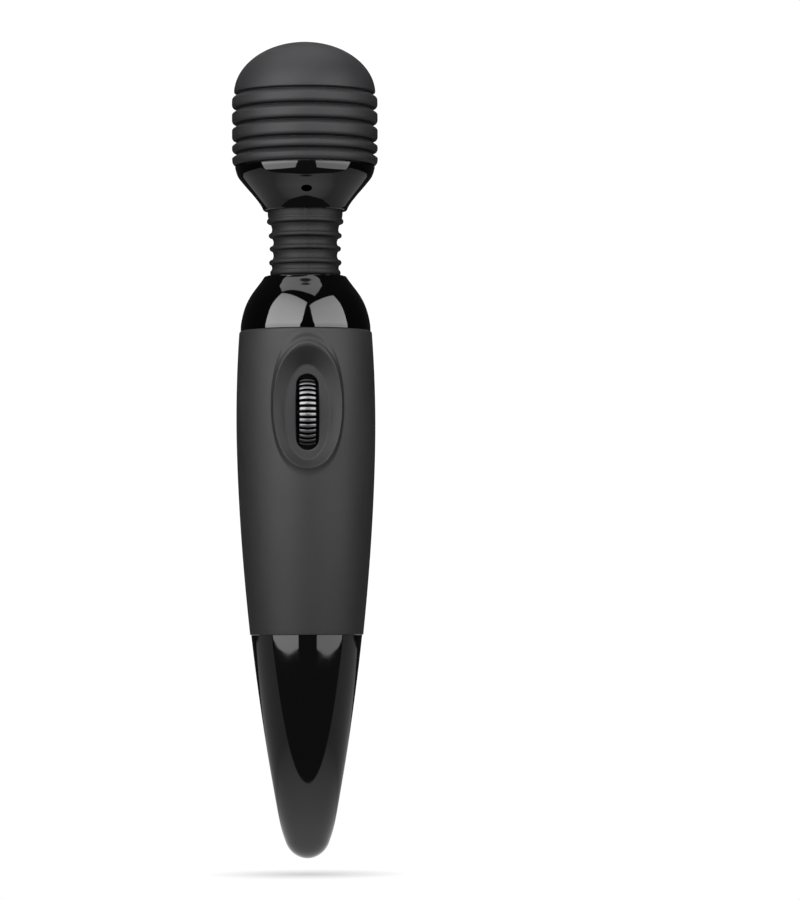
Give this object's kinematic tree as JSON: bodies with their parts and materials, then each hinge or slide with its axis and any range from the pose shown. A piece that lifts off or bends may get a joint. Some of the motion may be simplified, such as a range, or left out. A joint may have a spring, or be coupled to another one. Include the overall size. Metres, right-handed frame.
{
  "type": "handheld wand massager",
  "caption": "Cordless wand massager: ribbed soft head on a flexible bellows neck, soft grip with a speed wheel in a thumb dish, and a screw-off gloss tail cap.",
  "frame": {"origin": "on the wand's axis at the middle of the grip, 150 mm above the tip of the tail", "axes": "+Z along the wand towards the head; the speed wheel faces -Y"},
  "size_m": [0.0584, 0.0592, 0.3264],
  "materials": {
    "soft_touch_grip": "soft-touch matte",
    "gloss_black": "polished",
    "head_silicone": "matte silicone",
    "neck_rubber": "matte rubber",
    "wheel_plastic": "satin, moulded teeth",
    "shell_plastic": "moulded",
    "barrel_plastic": "moulded",
    "seal_rubber": "smooth",
    "screw_steel": "zinc plated",
    "spring_steel": "drawn wire",
    "motor_steel": "plated",
    "magnet_grey": "sintered",
    "weight_metal": "sintered",
    "winding_copper": "enamelled copper",
    "bush_bronze": "sintered bronze",
    "contact_metal": "nickel plated",
    "cell_jacket": "plain printed jacket",
    "pot_metal": "pressed",
    "board_green": "solder mask",
    "component_black": "moulded",
    "lead_red": "insulation"
  },
  "bodies": {
    "handle": {"grip_sleeve": "soft_touch_grip", "front_shell": "shell_plastic", "rear_shell": "shell_plastic", "shell_screws": "screw_steel", "shoulder_collar": "gloss_black", "neck_lower_collar": "shell_plastic", "neck_lower_cuff": "neck_rubber", "wheel_cradle": "shell_plastic", "speed_pot": "pot_metal", "pot_pins": "contact_metal", "circuit_board": "board_green", "board_components": "component_black", "board_screws": "screw_steel", "handle_leads": "lead_red", "battery_leads": "lead_red", "battery_barrel": "barrel_plastic", "battery_top_contacts": "contact_metal", "battery_cell_1": "cell_jacket", "battery_cell_2": "cell_jacket", "battery_cell_3": "cell_jacket", "battery_cell_4": "cell_jacket", "cap_seal": "seal_rubber"},
    "speed_wheel": {"thumbwheel": "wheel_plastic", "wheel_axle": "screw_steel", "pot_wiper": "contact_metal"},
    "neck_link_1": {"neck_rib_1": "neck_rubber"},
    "neck_link_2": {"neck_rib_2": "neck_rubber", "neck_spring": "spring_steel", "neck_leads": "lead_red"},
    "neck_link_3": {"neck_rib_3": "neck_rubber"},
    "head": {"head_cushion": "head_silicone", "head_core": "shell_plastic", "head_cup": "gloss_black", "motor_plate": "shell_plastic", "head_screws": "screw_steel", "motor_screws": "screw_steel", "motor_case": "motor_steel", "motor_magnets": "magnet_grey", "motor_end_bell": "component_black", "motor_brushes": "magnet_grey", "motor_terminals": "contact_metal", "motor_leads": "lead_red", "shaft_bush": "bush_bronze", "neck_upper_collar": "shell_plastic", "neck_upper_cuff": "neck_rubber"},
    "rotor": {"motor_shaft": "screw_steel", "motor_armature": "motor_steel", "armature_windings": "winding_copper", "commutator": "winding_copper", "eccentric_weight": "weight_metal", "weight_set_screw": "screw_steel"},
    "contact_slider": {"contact_carrier": "shell_plastic", "contact_plates": "contact_metal", "contact_springs": "contact_metal"},
    "tail": {"tail_cap": "gloss_black", "carrier_clip": "spring_steel"}
  },
  "joints": [
    {"name": "neck_tilt", "type": "hinge", "parent": "handle", "child": "neck_link_1", "pos_m": [0, 0, 0.0858], "axis": [1, 0.002, 0.0012], "range_deg": [-8, 8], "stiffness_Nm_per_rad": 8, "deforming": ["neck_lower_cuff", "neck_rib_1", "neck_spring", "neck_leads"]},
    {"name": "neck_sway", "type": "hinge", "parent": "neck_link_1", "child": "neck_link_2", "pos_m": [0, 0, 0.0906], "axis": [0.002, 1, 0.0012], "range_deg": [-8, 8], "stiffness_Nm_per_rad": 8, "deforming": ["neck_rib_2"]},
    {"name": "neck_tilt_upper", "type": "hinge", "parent": "neck_link_2", "child": "neck_link_3", "pos_m": [0, 0, 0.0958], "axis": [1, 0.002, 0.0012], "range_deg": [-8, 8], "stiffness_Nm_per_rad": 8, "deforming": ["neck_rib_3"]},
    {"name": "neck_sway_upper", "type": "hinge", "parent": "neck_link_3", "child": "head", "pos_m": [0, 0, 0.101], "axis": [0.002, 1, 0.0012], "range_deg": [-8, 8], "stiffness_Nm_per_rad": 8, "deforming": ["neck_upper_cuff"]},
    {"name": "motor_spin", "type": "hinge", "parent": "head", "child": "rotor", "pos_m": [0, 0, 0.14], "axis": [0, 0, 1], "continuous": true},
    {"name": "speed_wheel_turn", "type": "hinge", "parent": "handle", "child": "speed_wheel", "pos_m": [0, -0.0105, 0.027], "axis": [1, 0, 0], "range_deg": [0, 300]},
    {"name": "cap_travel", "type": "slide", "parent": "handle", "child": "contact_slider", "axis": [0, 0, 1], "range_m": [-0.006, 0]},
    {"name": "cap_turn", "type": "hinge", "parent": "contact_slider", "child": "tail", "pos_m": [0, 0, -0.07], "axis": [0, 0, 1], "range_deg": [-720.5, 0]}
  ],
  "couplings": [
    {"joint": "neck_tilt_upper", "follows": "neck_tilt", "ratio": 1},
    {"joint": "neck_sway_upper", "follows": "neck_sway", "ratio": 1},
    {"joint": "cap_turn", "follows": "cap_travel", "rad_per_m": 2094.4}
  ]
}
